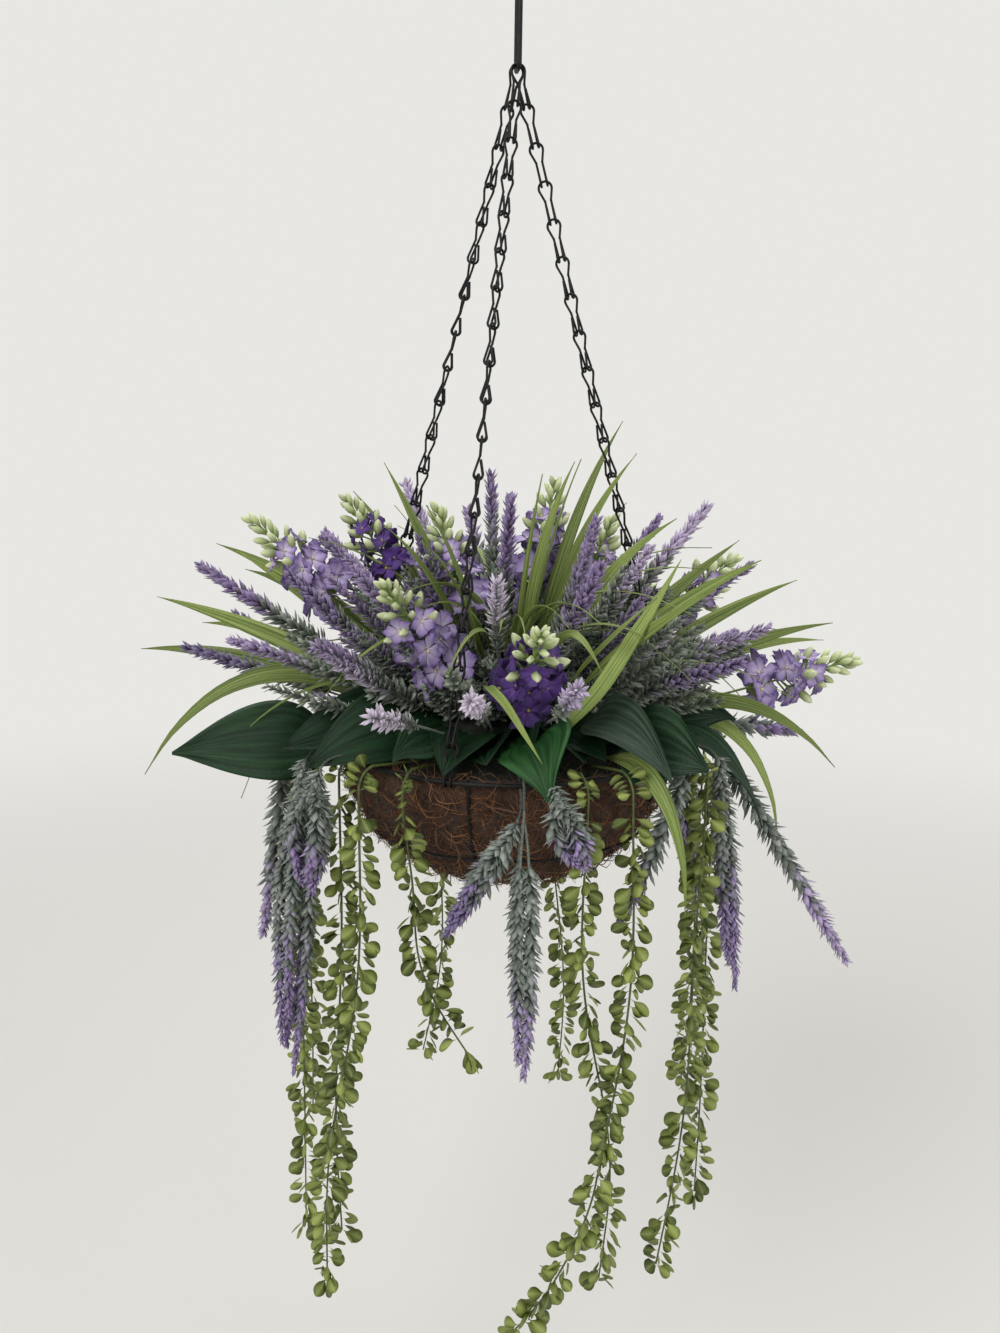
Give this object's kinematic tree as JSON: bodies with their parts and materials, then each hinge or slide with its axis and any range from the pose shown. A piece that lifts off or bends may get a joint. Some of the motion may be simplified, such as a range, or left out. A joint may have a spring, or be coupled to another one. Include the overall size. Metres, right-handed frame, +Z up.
{
  "type": "hanging basket",
  "caption": "Wire hanging basket with a coir liner, hung by link chains from a wire loop and hook, filled with lavender, delphinium, grass, hosta leaves and trailing vines.",
  "frame": {"origin": "inner top of the hook's bow, where the hook rests on whatever it hangs from", "axes": "+Z up, along the hanging axis; -Y towards the front of the planting; +X to the right seen from the front"},
  "size_m": [0.5372, 0.4172, 0.9717],
  "materials": {
    "coated_wire": "satin black coating on steel wire",
    "coir": "matt coconut fibre",
    "foam": "matt rigid foam",
    "lavender_flower": "matt flocked",
    "lavender_grey": "matt flocked",
    "delphinium_green": "satin",
    "petal_pale": "matt printed cloth",
    "petal_dark": "matt printed cloth",
    "grass_green": "satin",
    "hosta_dark": "satin",
    "hosta_bright": "satin",
    "vine_green": "satin"
  },
  "bodies": {
    "hook": {"hanger_hook": "coated_wire"},
    "loop": {"hanger_loop": "coated_wire"},
    "basket": {"chain_left": "coated_wire", "chain_front": "coated_wire", "chain_right": "coated_wire", "rim_hoop": "coated_wire", "belly_hoop": "coated_wire", "base_hoop": "coated_wire", "frame_ribs": "coated_wire", "coir_liner": "coir", "floral_foam": "foam", "lavender_left": "lavender_flower", "lavender_front": "lavender_flower", "lavender_top": "lavender_flower", "lavender_right": "lavender_flower", "lavender_back": "lavender_flower", "lavender_trail_left": "lavender_grey", "lavender_trail_front": "lavender_grey", "lavender_trail_right": "lavender_grey", "lavender_trail_back": "lavender_grey", "delphinium_left": "delphinium_green", "delphinium_front": "delphinium_green", "delphinium_right": "delphinium_green", "delphinium_back": "delphinium_green", "florets_pale": "petal_pale", "florets_dark": "petal_dark", "grass_left": "grass_green", "grass_top": "grass_green", "grass_front": "grass_green", "grass_right": "grass_green", "grass_back": "grass_green", "hosta_left": "hosta_dark", "hosta_small": "hosta_dark", "hosta_center": "hosta_bright", "hosta_folded": "hosta_bright", "hosta_broad": "hosta_dark", "hosta_drooping": "hosta_dark", "hosta_side": "hosta_dark", "hosta_back_1": "hosta_dark", "hosta_back_2": "hosta_dark", "hosta_back_3": "hosta_dark", "hosta_back_4": "hosta_dark", "vine_1": "vine_green", "vine_2": "vine_green", "vine_3": "vine_green", "vine_4": "vine_green", "vine_5": "vine_green", "vine_6": "vine_green", "vine_7": "vine_green", "vine_8": "vine_green", "vine_9": "vine_green", "vine_10": "vine_green", "vine_11": "vine_green", "vine_12": "vine_green"}
  },
  "joints": [
    {"name": "loop_swing", "type": "hinge", "parent": "hook", "child": "loop", "pos_m": [0, 0, -0.04307], "axis": [1, 0, 0], "range_deg": [-30, 30]},
    {"name": "basket_swing", "type": "hinge", "parent": "loop", "child": "basket", "pos_m": [0, 0, -0.09922], "axis": [-0.1392, 0.9903, 0], "range_deg": [-30, 30]}
  ]
}
